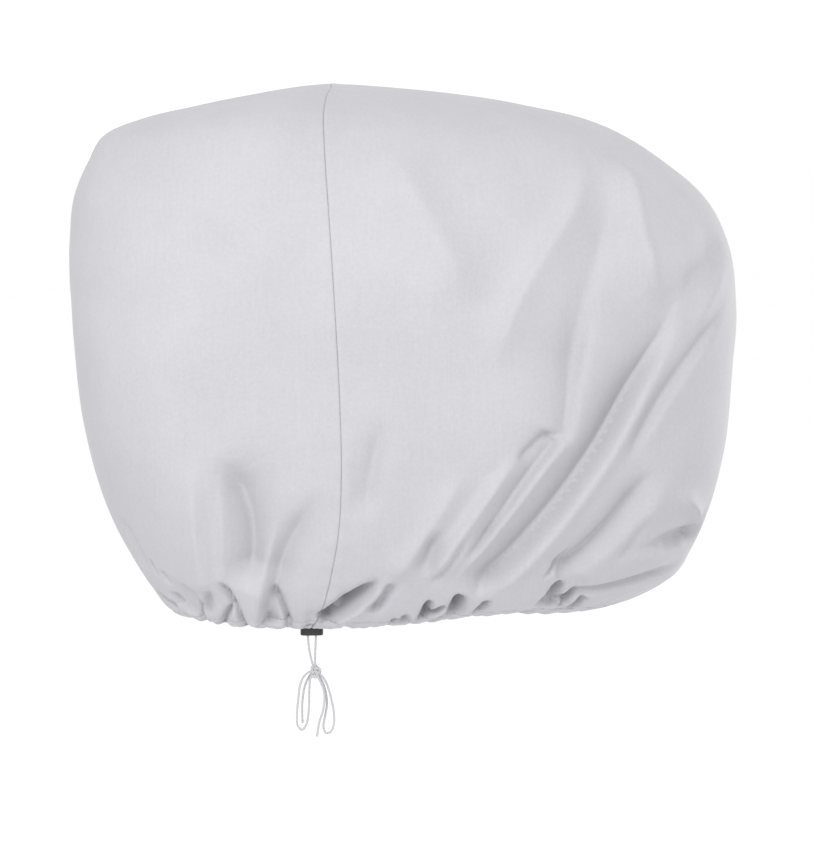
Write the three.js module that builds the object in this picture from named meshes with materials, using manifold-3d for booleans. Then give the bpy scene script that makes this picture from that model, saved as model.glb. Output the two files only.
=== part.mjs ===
// Fitted cover for the cowling of an outboard motor: two light polyester panels, sewn together over the
// crown, drawn in under the cowling by a cord in the hem, with a two-hole cord lock and a bow.
// Millimetres. X points to the front of the motor, the boat side, and Z up. The origin is at the crown,
// on the inside of the cloth, where the cover rests on the cowling.
import * as THREE from "three";
import { mergeVertices } from "three/addons/utils/BufferGeometryUtils.js";
import Module from "manifold-3d";

const wasm = await Module();
wasm.setup();

// Cloth
const clothThickness = 2;
const seamGap = 0.3;

// Sections of the taut cover, one row each from the crown down: how far the outside has dropped below
// the crown, where the seam stands along X, how far the cover reaches from there to the rear, the front
// and each side, how square the plan is behind and before the seam (2 is an ellipse), and how much
// higher the two ends are than the sides.
const sectionColumns = ["drop", "seam", "rear", "front", "half", "squareRear", "squareFront", "lift"];
const sections = [
  [0, 0, 0, 0, 0, 2.0, 2.0, 0],
  [5, 0, 50, 82, 58, 2.0, 2.0, 0],
  [12, -5, 84, 156, 98, 2.1, 2.1, 0],
  [25, -9, 142, 232, 142, 2.2, 2.2, 0],
  [38, -11, 195, 290, 170, 2.4, 2.3, 0],
  [55, -11, 235, 331, 192, 2.6, 2.4, 0],
  [85, -10, 255, 376, 212, 2.8, 2.5, 0],
  [120, -8, 271, 416, 224, 3.0, 2.6, 0],
  [170, -5, 279, 440, 233, 3.0, 2.8, 0],
  [240, -1, 282, 446, 239, 3.0, 3.0, 0],
  [320, 3, 281, 438, 241, 3.0, 3.0, 0],
  [400, 5, 270, 428, 236, 3.0, 3.0, 0],
  [460, 3, 251, 418, 224, 2.8, 2.8, 0],
  [510, -4, 222, 407, 204, 2.6, 2.6, 0],
  [545, -11, 196, 393, 182, 2.5, 2.4, 0],
  [570, -18, 171, 354, 161, 2.4, 2.2, 1],
  [581, -25, 146, 328, 142, 2.3, 2.0, 3],
];

// Folds, one row each. A fold runs over the cloth from one place to another, each given as an angle
// round the cover in degrees (0 front, 90 far side, 180 rear, 270 near side) and a distance down the
// cloth from the crown. bow bends its line by so many degrees halfway. right and left are how far it
// dies away to each side, seen from outside on the way from the first place to the second. round is how
// rounded its line is, rise is its height above the taut cloth, less than 0 in a trough, and fadeFrom
// and fadeTo say over what share of its length each end dies out.
const foldColumns = [
  "fromAngle", "fromDown", "toAngle", "toDown", "bow", "right", "left", "round", "rise", "fadeFrom",
  "fadeTo",
];
const nearFrontFolds = [
  [292.5, 768, 316.6, 415, -0.4, 9, 30, 3, -18, 0.08, 0.3],
  [293.9, 762, 316.4, 445, -0.5, 16, 8, 3, 10, 0.1, 0.4],
  [287.6, 748, 299.6, 575, -1.1, 10, 9, 3, 5, 0.3, 0.15],
  [284, 735, 294.8, 585, -1.2, 24, 10, 3, 13, 0.2, 0.35],
  [278.8, 742, 288, 596, -0.7, 16, 12, 3, 9, 0.2, 0.4],
  [283.2, 735, 284.3, 668, 0, 9, 10, 4, -8, 0.4, 0.4],
  [299.6, 588, 302.8, 430, -0.6, 9, 26, 3, -10, 0.12, 0.4],
  [300.2, 545, 318, 270, -5.6, 11, 24, 4, -9, 0.2, 0.35],
  [290.5, 515, 315, 272, -6, 30, 16, 3, 12, 0.25, 0.3],
  [288, 445, 279, 250, -0.3, 28, 40, 6, 12, 0.25, 0.35],
  [314.2, 446, 322, 268, -6.1, 40, 30, 4, 22, 0.3, 0.3],
  [316.7, 440, 337, 378, -4.3, 14, 40, 3, -11, 0.5, 0.2],
  [319, 470, 336, 390, -2.5, 14, 12, 4, 6, 0.3, 0.4],
  [304, 740, 313.6, 608, 1.4, 13, 17, 4, -15, 0.08, 0.35],
  [307, 738, 318, 605, 2.2, 12, 10, 4, 3, 0.15, 0.45],
  [308.4, 612, 331.1, 432, -4, 9, 14, 3, -7, 0.25, 0.3],
  [310.4, 602, 332.5, 434, -3.9, 16, 9, 3, 5, 0.3, 0.4],
  [314, 728, 316, 664, 0, 11, 11, 4, -6, 0.3, 0.4],
  [313, 711, 342, 704, 0, 9, 28, 3, -18, 0.5, 0.22],
  [319, 640, 338, 697, 0, 9, 13, 3, 8, 0.3, 0.2],
  [312.8, 790, 339, 736, -6.8, 8, 11, 3, -11, 0.06, 0.3],
  [271.6, 806, 277.8, 733, 0.7, 9, 7, 3, -26, 0.1, 0.15],
  [272.8, 805, 278.2, 732, 1, 9, 8, 3, 8, 0.1, 0.2],
  [278.4, 784, 279.4, 736, 0.2, 8, 10, 3, -10, 0.1, 0.3],
  [273.2, 668, 276, 545, -0.4, 12, 15, 3, -10, 0.3, 0.4],
  [291.6, 802, 292.6, 764, 0, 9, 9, 3, -12, 0.3, 0.3],
  [307.6, 798, 308.6, 758, 0, 9, 9, 3, -12, 0.3, 0.3],
];
const nearRearFolds = [
  [234.4, 772, 238.8, 585, 0.6, 15, 34, 3, 14, 0.2, 0.4],
  [240, 752, 244.4, 600, 0.6, 14, 8, 3, 5, 0.2, 0.4],
  [247, 752, 244.2, 580, 4.1, 34, 17, 3, -25, 0.2, 0.25],
  [252.6, 812, 266.2, 625, -2.7, 22, 16, 3, -15, 0.05, 0.3],
  [248, 812, 256.5, 650, -0.7, 11, 20, 3, 10, 0.05, 0.4],
  [242.9, 826, 238.8, 732, 1.6, 8, 7, 3, -9, 0.06, 0.2],
  [230.5, 826, 241.4, 768, 0.8, 8, 7, 3, -7, 0.1, 0.2],
  [229.8, 790, 237, 734, 0.3, 8, 8, 3, -9, 0.1, 0.4],
  [220.5, 802, 228.8, 742, 0, 10, 12, 8, -9, 0.2, 0.3],
  [261.2, 826, 252.6, 748, 0.7, 8, 7, 3, -9, 0.06, 0.2],
  [211.5, 668, 211, 745, 0, 10, 10, 5, -6, 0.3, 0.3],
];
const frontEndFolds = [
  [352, 826, 356, 640, 0, 14, 12, 8, -9, 0, 0.4],
  [366, 826, 362, 560, 2, 16, 14, 8, -10, 0, 0.4],
  [373, 826, 371, 600, 0, 13, 15, 3, 8, 0, 0.4],
  [380, 826, 385, 660, 0, 12, 14, 6, -8, 0, 0.4],
  [344, 600, 372, 560, 4, 20, 16, 8, -6, 0.4, 0.4],
  [358, 330, 372, 470, 3, 30, 26, 6, 7, 0.4, 0.4],
];
const farFrontFolds = [
  [396, 826, 388, 590, 0, 14, 16, 8, -11, 0, 0.35],
  [402, 826, 396, 560, 0, 12, 14, 3, 7, 0, 0.35],
  [410, 826, 401, 640, 0, 13, 12, 6, -9, 0, 0.4],
  [419, 826, 398, 470, -2, 16, 14, 8, -9, 0.1, 0.35],
  [430, 826, 417, 560, 0, 12, 14, 3, 7, 0, 0.4],
  [437, 826, 433, 650, 0, 13, 14, 6, -9, 0, 0.4],
  [445, 826, 446, 610, 0, 14, 15, 3, 6, 0, 0.4],
  [404, 230, 424, 430, 2, 28, 24, 6, 7, 0.3, 0.4],
];
const farRearFolds = [
  [97, 826, 100, 620, 0, 14, 13, 6, -8, 0, 0.4],
  [107, 826, 112, 560, 0, 15, 15, 3, 6, 0, 0.4],
  [117, 826, 115, 650, 0, 13, 12, 6, -9, 0, 0.4],
  [129, 826, 137, 640, 0, 12, 13, 3, 6, 0, 0.4],
  [138, 826, 133, 590, 2, 14, 12, 8, -9, 0, 0.35],
];
const rearEndFolds = [
  [152, 826, 157, 660, 0, 13, 12, 6, -8, 0, 0.4],
  [163, 826, 161, 600, 0, 14, 15, 3, 6, 0, 0.4],
  [173, 826, 176, 640, 0, 13, 12, 6, -9, 0, 0.4],
  [186, 826, 183, 690, 0, 12, 13, 6, -7, 0, 0.4],
  [197, 826, 195, 620, 0, 14, 14, 5, -5, 0, 0.4],
];

// Gathers along the hem: runs from one angle to the next, with so many puckers in each. The seams stiffen
// the hem, so the valleys on them are shallower.
const rearGathers = [[90, 180, 6], [180, 226, 4], [226, 270, 5]];
const frontGathers = [
  [270, 284, 2], [284, 299, 4], [299, 313, 1], [313, 331, 3], [331, 360, 3], [360, 450, 7],
];
const gatherDepth = 2.6;
const gatherLength = 48;
const seamGatherDepth = 1.5;

// Where the cord draws the hem up: about which angle, how far round to each side and how far up the
// cloth, and by how much
const hemRise = { angle: 306, reach: 16, up: 110, height: 8 };

// Near the hem, folds stand out level rather than square to the cloth, as its cord holds it at one
// height: how far up the cloth that goes, and how much of the slope it takes away
const levelFolds = { up: 70, share: 0.85 };

// Net of the cloth: the width of its cells on the near and the far side, at the height where the cover
// is wide, and how many rings there are between one distance down the cloth and the next, the last run
// ending at the hem. The rings above the first fine one have half as many columns.
const cellWidth = { near: 11, far: 22 };
const widthDown = 400;
const ringRuns = [[0, 150, 4], [150, 330, 7], [330, 570, 7], [570, 760, 9], [760, Infinity, 4]];
const firstFineRing = 11;

// Cord and lock
const cordDiameter = 2.4;
const cordSides = 8;
const lock = { x: -24.4, y: -129.5, top: -576.4, height: 12, width: 24.5, depth: 9, edge: 1.2 };
const lockHole = { spacing: 8.4, diameter: 3.6, sides: 16 };

const clothColour = 0xd8d6dc;
const cordColour = 0xe4e3e6;
const lockColour = 0x17171a;

function named(columns, row) {
  return Object.fromEntries(columns.map((name, i) => [name, row[i]]));
}

function smooth(t) {
  const u = Math.min(1, Math.max(0, t));
  return u * u * (3 - 2 * u);
}

// Distance down the cloth at each section, taken along the mean of its four sides
const sectionRows = sections.map((row) => named(sectionColumns, row));
const sectionDown = [0];
for (let i = 1; i < sectionRows.length; i++) {
  const reach = (row) => (row.rear + row.front + 2 * row.half) / 4;
  const a = sectionRows[i - 1];
  const b = sectionRows[i];
  sectionDown.push(sectionDown[i - 1] + Math.hypot(b.drop - a.drop, reach(b) - reach(a)));
}
const hemDown = sectionDown[sectionDown.length - 1];

// Slopes of a smooth curve through one column of the sections; the crown is level
function slopes(name) {
  const last = sectionRows.length - 1;
  const step = (i) => sectionDown[i + 1] - sectionDown[i];
  const rise = (i) => (sectionRows[i + 1][name] - sectionRows[i][name]) / step(i);
  return sectionRows.map((row, i) => {
    if (i === 0) return name === "drop" ? 0 : rise(0);
    if (i === last) return rise(last - 1);
    return (rise(i - 1) * step(i) + rise(i) * step(i - 1)) / (step(i) + step(i - 1));
  });
}
const sectionSlopes = Object.fromEntries(sectionColumns.map((name) => [name, slopes(name)]));

function sectionAt(down) {
  let i = 0;
  while (i < sectionRows.length - 2 && down > sectionDown[i + 1]) i++;
  const h = sectionDown[i + 1] - sectionDown[i];
  const t = (down - sectionDown[i]) / h;
  const result = {};
  for (const name of sectionColumns) {
    const slope = sectionSlopes[name];
    result[name] = sectionRows[i][name] * (1 + 2 * t) * (1 - t) ** 2
      + sectionRows[i + 1][name] * t * t * (3 - 2 * t)
      + h * slope[i] * t * (1 - t) ** 2 + h * slope[i + 1] * t * t * (t - 1);
  }
  return result;
}

// A point of the outside of the taut cover
function tautPoint(angle, down) {
  const s = sectionAt(down);
  const turn = THREE.MathUtils.degToRad(angle);
  const c = Math.cos(turn);
  const n = c > 0 ? s.squareFront : s.squareRear;
  const size = (Math.abs(c) ** n + Math.abs(Math.sin(turn)) ** n) ** (-1 / n);
  const along = size * c;
  const drawnUp = hemRise.height * Math.exp(-(((angle - hemRise.angle) / hemRise.reach) ** 2))
    * smooth(1 - (hemDown - down) / hemRise.up);
  return new THREE.Vector3(
    s.seam + (c > 0 ? s.front : s.rear) * along,
    s.half * size * Math.sin(turn),
    clothThickness - s.drop + s.lift * along * along + drawnUp,
  );
}

// The cloth's outward normal, from points a short way round and down from it
function normalOf(surface, angle, down, reach) {
  const turn = THREE.MathUtils.radToDeg(reach / 200);
  const low = Math.max(down - reach, reach / 2);
  const round = surface(angle + turn, down).sub(surface(angle - turn, down));
  const fall = surface(angle, down + reach).sub(surface(angle, low));
  return fall.cross(round).normalize();
}

const foldSteps = 12;
const foldEnd = 3;
const folds = [
  nearFrontFolds, nearRearFolds, frontEndFolds, farFrontFolds, farRearFolds, rearEndFolds,
].flat().map((row) => {
  const fold = named(foldColumns, row);
  fold.line = [];
  for (let i = 0; i <= foldSteps; i++) {
    const t = i / foldSteps;
    const angle = fold.fromAngle + (fold.toAngle - fold.fromAngle) * t + fold.bow * 4 * t * (1 - t);
    const down = fold.fromDown + (fold.toDown - fold.fromDown) * t;
    fold.line.push({ angle, down, point: tautPoint(angle, down) });
  }
  return fold;
});

// Turns an angle by whole circles until it is within half a circle of another
function nearAngle(angle, other) {
  return angle - 360 * Math.round((angle - other) / 360);
}

// How far one fold lifts the cloth at a point of the taut cover
function foldRise(fold, point, angle, down) {
  let best = Infinity;
  let along = 0;
  let side = 0;
  const span = new THREE.Vector3();
  const to = new THREE.Vector3();
  for (let i = 0; i < foldSteps; i++) {
    const a = fold.line[i];
    const b = fold.line[i + 1];
    span.subVectors(b.point, a.point);
    to.subVectors(point, a.point);
    const t = Math.min(1, Math.max(0, to.dot(span) / span.lengthSq()));
    const distance = to.addScaledVector(span, -t).length();
    if (distance < best) {
      best = distance;
      along = (i + t) / foldSteps;
      const turned = nearAngle(angle, a.angle) - a.angle;
      side = turned * (b.down - a.down) - (down - a.down) * (b.angle - a.angle);
    }
  }
  const width = side < 0 ? fold.right : fold.left;
  if (best > foldEnd * width) return 0;
  const across = (Math.hypot(best, fold.round) - fold.round) / width;
  const fadeIn = fold.fadeFrom > 0 ? smooth(along / fold.fadeFrom) : 1;
  const fade = fadeIn * smooth((1 - along) / fold.fadeTo) * smooth(foldEnd - best / width);
  return fold.rise * fade * Math.exp(-across - (across * across) / 2);
}

// The puckers of one panel's hem, as unevenly spaced valleys, each with its depth and its length
function valleysOf(runs) {
  const valleys = [{ angle: runs[0][0], depth: seamGatherDepth, length: gatherLength }];
  for (const [from, to, count] of runs) {
    const widths = [];
    for (let i = 0; i < count; i++) widths.push(1 + 0.3 * Math.sin(2.1 * i + from));
    const total = widths.reduce((sum, width) => sum + width, 0);
    let angle = from;
    for (const width of widths) {
      angle += ((to - from) * width) / total;
      const i = valleys.length;
      valleys.push({
        angle,
        depth: gatherDepth * (1 + 0.35 * Math.sin(1.9 * i + from)),
        length: gatherLength * (1 + 0.3 * Math.sin(2.7 * i + to)),
      });
    }
  }
  Object.assign(valleys[valleys.length - 1], { depth: seamGatherDepth, length: gatherLength });
  return valleys;
}

// The hem's rounded puckers, with sharp valleys between them
function gatherRise(valleys, angle, down) {
  const turned = Math.min(valleys[valleys.length - 1].angle, Math.max(valleys[0].angle, angle));
  let i = 0;
  while (i < valleys.length - 2 && turned > valleys[i + 1].angle) i++;
  const a = valleys[i];
  const b = valleys[i + 1];
  const t = (turned - a.angle) / (b.angle - a.angle);
  const depth = a.depth + (b.depth - a.depth) * t;
  const length = a.length + (b.length - a.length) * t;
  const ramp = smooth(1 - (hemDown - down) / length);
  return depth * ramp * (2 * Math.sin(Math.PI * t) ** 0.6 - 1);
}

// The way in which folds stand out from the taut cloth
function liftDirection(angle, down) {
  const normal = normalOf(tautPoint, angle, down, 6);
  normal.z *= 1 - levelFolds.share * smooth(1 - (hemDown - down) / levelFolds.up);
  return normal.normalize();
}

// The outside of one panel with its folds
function foldedSurface(valleys) {
  return (angle, down) => {
    const point = tautPoint(angle, down);
    let rise = gatherRise(valleys, angle, down);
    for (const fold of folds) rise += foldRise(fold, point, angle, down);
    return point.addScaledVector(liftDirection(angle, down), rise);
  };
}

// Angles of the net's columns: an even number from each valley of the hem to the next
function columnsOf(valleys) {
  const angles = [];
  for (let i = 0; i < valleys.length - 1; i++) {
    const from = valleys[i].angle;
    const to = valleys[i + 1].angle;
    const width = tautPoint(from, widthDown).distanceTo(tautPoint(to, widthDown));
    const cell = from >= 180 && to <= 360 ? cellWidth.near : cellWidth.far;
    const count = 2 * Math.max(1, Math.round(width / (2 * cell)));
    for (let k = 0; k < count; k++) angles.push(from + ((to - from) * k) / count);
  }
  angles.push(valleys[valleys.length - 1].angle);
  return angles;
}

// A closed sheet over one panel: an outside and an inside net that share their columns and rings, and a
// strip along the edge, up the first seam, over the crown, down the other seam and back along the hem.
function panelGeometry(runs, shift) {
  const valleys = valleysOf(runs);
  const surface = foldedSurface(valleys);
  const angles = columnsOf(valleys);
  const lastColumn = angles.length - 1;

  const rings = [];
  for (const [from, to, count] of ringRuns) {
    const end = Math.min(to, hemDown);
    for (let i = 1; i <= count; i++) rings.push(from + ((end - from) * i) / count);
  }

  const points = [];
  const addPoint = (outside, normal) => {
    const seam = new THREE.Vector3(shift, 0, 0);
    points.push(outside.clone().add(seam));
    points.push(outside.clone().addScaledVector(normal, -clothThickness).add(seam));
    return points.length / 2 - 1;
  };
  const crown = addPoint(new THREE.Vector3(0, 0, clothThickness), new THREE.Vector3(0, 0, 1));
  const net = rings.map((ringDown, r) => {
    const step = r < firstFineRing ? 2 : 1;
    const ring = [];
    for (let c = 0; c <= lastColumn; c += step) {
      // Along the seams both panels take the taut cloth's normal, which keeps the gap between them even
      const atSeam = c === 0 || c === lastColumn;
      const normal = normalOf(atSeam ? tautPoint : surface, angles[c], ringDown, atSeam ? 6 : 4);
      ring[c] = addPoint(surface(angles[c], ringDown), normal);
    }
    return ring;
  });

  const triangles = [];
  const outside = (i) => 2 * i;
  const inside = (i) => 2 * i + 1;
  const addBoth = (a, b, c) => {
    triangles.push([outside(a), outside(b), outside(c)], [inside(a), inside(c), inside(b)]);
  };
  // How far the middle of a cell's diagonal lies off the cloth
  const miss = (middle, a, b) => {
    return points[outside(a)].clone().add(points[outside(b)]).multiplyScalar(0.5).distanceTo(middle);
  };
  for (let c = 0; c < lastColumn; c += 2) addBoth(crown, net[0][c], net[0][c + 2]);
  for (let r = 0; r < rings.length - 1; r++) {
    const step = r < firstFineRing ? 2 : 1;
    for (let c = 0; c < lastColumn; c += step) {
      const a = net[r][c];
      const b = net[r][c + step];
      const e = net[r + 1][c];
      const f = net[r + 1][c + step];
      if (r === firstFineRing - 1) {
        const middle = net[r + 1][c + 1];
        addBoth(a, e, middle);
        addBoth(a, middle, b);
        addBoth(middle, f, b);
      } else {
        const middle = surface((angles[c] + angles[c + step]) / 2, (rings[r] + rings[r + 1]) / 2);
        if (miss(middle, a, f) < miss(middle, b, e)) {
          addBoth(a, e, f);
          addBoth(a, f, b);
        } else {
          addBoth(a, e, b);
          addBoth(e, f, b);
        }
      }
    }
  }
  const edge = [crown];
  for (const ring of net) edge.push(ring[0]);
  for (let c = 1; c <= lastColumn; c++) edge.push(net[net.length - 1][c]);
  for (let r = net.length - 2; r >= 0; r--) edge.push(net[r][lastColumn]);
  edge.forEach((a, i) => {
    const b = edge[(i + 1) % edge.length];
    triangles.push([outside(a), inside(a), inside(b)], [outside(a), inside(b), outside(b)]);
  });
  return closedGeometry(points, triangles);
}

// Six times the volume inside the triangles, less than 0 when they face inwards
function signedVolume(points, triangles) {
  const product = new THREE.Vector3();
  return triangles.reduce((sum, [a, b, c]) => {
    return sum + points[a].dot(product.crossVectors(points[b], points[c]));
  }, 0);
}

function closedGeometry(points, triangles) {
  const inverted = signedVolume(points, triangles) < 0;
  const geometry = new THREE.BufferGeometry();
  geometry.setAttribute(
    "position", new THREE.Float32BufferAttribute(points.flatMap((p) => p.toArray()), 3));
  geometry.setIndex(triangles.flatMap(([a, b, c]) => (inverted ? [a, c, b] : [a, b, c])));
  geometry.computeVertexNormals();
  return geometry;
}

function solidOf(geometry) {
  const bare = geometry.clone();
  bare.deleteAttribute("normal");
  bare.deleteAttribute("uv");
  const merged = mergeVertices(bare, 1e-4);
  return new wasm.Manifold(new wasm.Mesh({
    numProp: 3,
    vertProperties: new Float32Array(merged.attributes.position.array),
    triVerts: new Uint32Array(merged.index.array),
  }));
}

function geometryOf(solid) {
  const mesh = solid.getMesh();
  const geometry = new THREE.BufferGeometry();
  geometry.setAttribute("position", new THREE.Float32BufferAttribute(mesh.vertProperties, 3));
  geometry.setIndex(Array.from(mesh.triVerts));
  geometry.computeVertexNormals();
  return geometry;
}

// The lock is a bar with round ends, with a hole for each end of the cord
function lockGeometry() {
  const round = lock.depth / 2 - lock.edge;
  const straight = lock.width / 2 - lock.depth / 2;
  const bar = new THREE.Shape();
  bar.absarc(straight, 0, round, -Math.PI / 2, Math.PI / 2);
  bar.absarc(-straight, 0, round, Math.PI / 2, (3 * Math.PI) / 2);
  bar.closePath();
  const body = new THREE.ExtrudeGeometry(bar, {
    depth: lock.height - 2 * lock.edge,
    bevelThickness: lock.edge,
    bevelSize: lock.edge,
    bevelSegments: 2,
    curveSegments: 10,
  });
  body.translate(0, 0, lock.edge);
  let solid = solidOf(body);
  for (const side of [-1, 1]) {
    const radius = lockHole.diameter / 2;
    const hole = new THREE.CylinderGeometry(radius, radius, 3 * lock.height, lockHole.sides);
    hole.rotateX(Math.PI / 2);
    hole.translate((side * lockHole.spacing) / 2, 0, 0);
    solid = solid.subtract(solidOf(hole));
  }
  return geometryOf(solid);
}

// The cord's routes, seen from the near side. Each point is X, the stand-off towards the viewer from the
// middle of the lock, and Z. The upper ends come out of the hem, behind its edge.
const knotCentre = [-20.7, 0, -628];
const strandLeft = [
  [-28.6, 12, -568.5], [-28.6, 6, -567.5], [-28.6, 1, -571], [-28.6, 0, -578], [-28.6, 0, -591],
  [-26.8, 0, -607], [-23.2, 0, -622], knotCentre,
];
const strandRight = [
  [-20.2, 12, -568.5], [-20.2, 6, -567.5], [-20.2, 1, -571], [-20.2, 0, -578], [-20.2, 0, -593],
  [-21.1, 0.4, -611], knotCentre,
];
const loopLeft = [
  knotCentre, [-26.2, 1.5, -628], [-32.7, 1.8, -632.5], [-37.1, 1.5, -642], [-39.5, 1, -660],
  [-40.9, 0.5, -677], [-39.7, 0, -688], [-35.2, -0.5, -692], [-30.6, -0.8, -686], [-27.9, -1.2, -669],
  [-27.3, -1.8, -647], [-25.7, -2, -634.5], knotCentre,
];
const tailLeft = [
  knotCentre, [-26.2, -4.8, -633], [-31.7, -5.4, -644], [-34.5, -5, -659], [-35.1, -4.6, -673],
  [-34.7, -4.4, -685],
];
const loopRight = [
  knotCentre, [-15.2, 1.5, -631.5], [-9.2, 2, -640], [-4.5, 1.8, -655], [-1.1, 1.2, -672],
  [-0.9, 0.6, -685], [-4.1, 0.2, -694], [-9.1, -0.2, -696], [-12.3, -0.6, -689],
  [-10.3, -1.2, -677], [-8.3, -1.8, -663], [-11.1, -2.2, -646], [-15.7, -2, -635.5], knotCentre,
];
const tailRight = [
  knotCentre, [-16.9, 4.8, -635.5], [-12.7, 5.4, -645], [-11.1, 5.4, -657], [-13.1, 5.2, -671],
  [-16.9, 5, -683], [-19.3, 4.8, -698],
];
const cordStepLength = 7.2;

function cordGeometry(route) {
  const curve = new THREE.CatmullRomCurve3(
    route.map(([x, out, z]) => new THREE.Vector3(x, lock.y - out, z)), false, "centripetal");
  const section = new THREE.Shape();
  for (let i = 0; i < cordSides; i++) {
    const turn = (2 * Math.PI * i) / cordSides;
    const x = (cordDiameter / 2) * Math.cos(turn);
    const y = (cordDiameter / 2) * Math.sin(turn);
    if (i === 0) section.moveTo(x, y);
    else section.lineTo(x, y);
  }
  section.closePath();
  return new THREE.ExtrudeGeometry(section, {
    steps: Math.round(curve.getLength() / cordStepLength),
    extrudePath: curve,
    curveSegments: 1,
  });
}

// The bow's knot: one overhand turn, pulled down round a core
function knotGeometry() {
  const turnRadius = 3.3;
  const cordRadius = 1.5;
  const turn = new THREE.TorusKnotGeometry(turnRadius, cordRadius, 27, 6, 2, 3);
  turn.scale(1, 1.35, 0.95);
  turn.rotateX(Math.PI / 2);
  const core = new THREE.SphereGeometry(3.4, 8, 6);
  core.scale(1, 0.8, 1.5);
  const knot = solidOf(turn).add(solidOf(core));
  return knot.translate([knotCentre[0], lock.y, knotCentre[2]]);
}

function drawcordGeometry() {
  const routes = [strandLeft, strandRight, loopLeft, tailLeft, loopRight, tailRight];
  const joined = routes.reduce((solid, route) => solid.add(solidOf(cordGeometry(route))), knotGeometry());
  return geometryOf(joined);
}

function addMesh(group, name, geometry, look) {
  const mesh = new THREE.Mesh(geometry, new THREE.MeshStandardMaterial(look));
  mesh.name = name;
  group.add(mesh);
  return mesh;
}

const group = new THREE.Group();
const clothLook = { color: clothColour, roughness: 0.78, metalness: 0 };
addMesh(group, "rear_panel", panelGeometry(rearGathers, -seamGap / 2), clothLook);
addMesh(group, "front_panel", panelGeometry(frontGathers, seamGap / 2), clothLook);
const lockMesh = addMesh(
  group, "cord_lock", lockGeometry(), { color: lockColour, roughness: 0.4, metalness: 0 });
lockMesh.position.set(lock.x, lock.y, lock.top - lock.height);
addMesh(group, "drawcord", drawcordGeometry(), { color: cordColour, roughness: 0.85, metalness: 0 });

export default group;
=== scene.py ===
"""Looks of a fitted cover for the cowling of an outboard motor: two light woven polyester panels sewn
together over the crown, drawn in below by a cord in the hem, with a two-hole cord lock and a hanging bow.
Lengths in the tables are millimetres; everything that is made from them is in metres."""
import math

import bpy
import numpy as np
from mathutils import Matrix, Vector, noise


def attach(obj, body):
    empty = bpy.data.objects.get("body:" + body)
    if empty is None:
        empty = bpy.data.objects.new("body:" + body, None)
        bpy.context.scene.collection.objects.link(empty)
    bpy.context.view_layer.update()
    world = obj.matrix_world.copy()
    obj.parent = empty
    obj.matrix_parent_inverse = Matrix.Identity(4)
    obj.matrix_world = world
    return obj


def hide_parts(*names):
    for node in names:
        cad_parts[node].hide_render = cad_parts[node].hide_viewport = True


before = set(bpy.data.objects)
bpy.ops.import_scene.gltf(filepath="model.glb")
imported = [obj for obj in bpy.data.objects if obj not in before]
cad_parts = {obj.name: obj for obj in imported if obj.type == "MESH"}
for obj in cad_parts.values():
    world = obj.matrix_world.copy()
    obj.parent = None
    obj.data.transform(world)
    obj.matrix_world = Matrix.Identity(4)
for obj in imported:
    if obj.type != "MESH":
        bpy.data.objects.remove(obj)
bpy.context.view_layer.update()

MM = 0.001

# Camera: a little left of straight on and a little above
CAMERA_AZIMUTH = -3
CAMERA_ELEVATION = 6
CAMERA_TARGET = Vector((0.0820, -0.0430, -0.3661))
CAMERA_DISTANCE = 3.0
CAMERA_LENS = 116.744
CAMERA_SENSOR = 36.0
CAMERA_SIGHT = 100


def facing(azimuth, elevation):
    """The direction from the object to a viewer; azimuth 0 looks along +Y, with +X to the right."""
    a, e = math.radians(azimuth), math.radians(elevation)
    return Vector((math.sin(a) * math.cos(e), -math.cos(a) * math.cos(e), math.sin(e)))


def looking(azimuth, elevation, target, distance):
    back = facing(azimuth, elevation)
    right = Vector((0, 0, 1)).cross(back).normalized()
    turn = Matrix((right, back.cross(right), back)).transposed().to_4x4()
    return Matrix.Translation(target + distance * back) @ turn


def add_camera():
    data = bpy.data.cameras.new("camera")
    data.sensor_fit = "VERTICAL"
    data.sensor_height = CAMERA_SENSOR
    data.lens = CAMERA_LENS
    data.clip_end = CAMERA_SIGHT
    camera = bpy.data.objects.new("camera", data)
    bpy.context.scene.collection.objects.link(camera)
    camera.matrix_world = looking(CAMERA_AZIMUTH, CAMERA_ELEVATION, CAMERA_TARGET, CAMERA_DISTANCE)
    bpy.context.scene.camera = camera


# Materials. Colours are sRGB, a darker and a lighter one for each.
CLOTH_SHADES = (0xA7A6AA, 0xB5B4B8)
STITCH_SHADE = 0xA09FA3
# The cord's darker colour is painted shade for the gaps of its braid; the lighter one is its own white
CORD_GAP_SHADE_AND_WHITE = (0x969599, 0xBCBBBE)
LOCK_SHADES = (0x101012, 0x1E1E21)
PAPER_SHADES = (0xF6F6F6, 0xFAFAFA)

# Most of a noise lies between these two values
NOISE_LOW = 0.3
NOISE_HIGH = 0.7

# Woven cloth: the threads of this polyester are about 0.3 mm apart, too fine for the render, so their
# relief is drawn 1.6 mm apart, and the thick places in the yarn, seen as faint streaks, 2 mm wide. The
# upright streaks are the stronger ones.
THREAD = 1.6 * MM
THREAD_RELIEF = 0.08 * MM
SLUB_WIDTH = 2.0 * MM
SLUB_LENGTH = 60 * MM
UPRIGHT_STREAKS = 4.0
LEVEL_STREAKS = 2.2

# The weave runs along X on the sides and along Y on the two ends. It changes over where the cloth turns:
# where its normal's share along X is between these two.
END_TURN = (0.62, 0.82)

# Stitches of the hem channel: half the length of one, in pitches, and half its width, each inside and
# outside its soft edge, and the depth of its dent
STITCH_PITCH = 4 * MM
STITCH_HALF_LENGTH = (0.3, 0.42)
STITCH_HALF_WIDTH = (0.3 * MM, 0.8 * MM)
STITCH_DENT = 0.5 * MM

# Cord and lock: the size of the cord's loose fibres, the depth of its braid, and the lock's mould grain
FIBRE_SIZE = 0.5 * MM
BRAID_RELIEF = 0.15 * MM
GRAIN_SIZE = 0.6 * MM
GRAIN_RELIEF = 0.1 * MM


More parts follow.
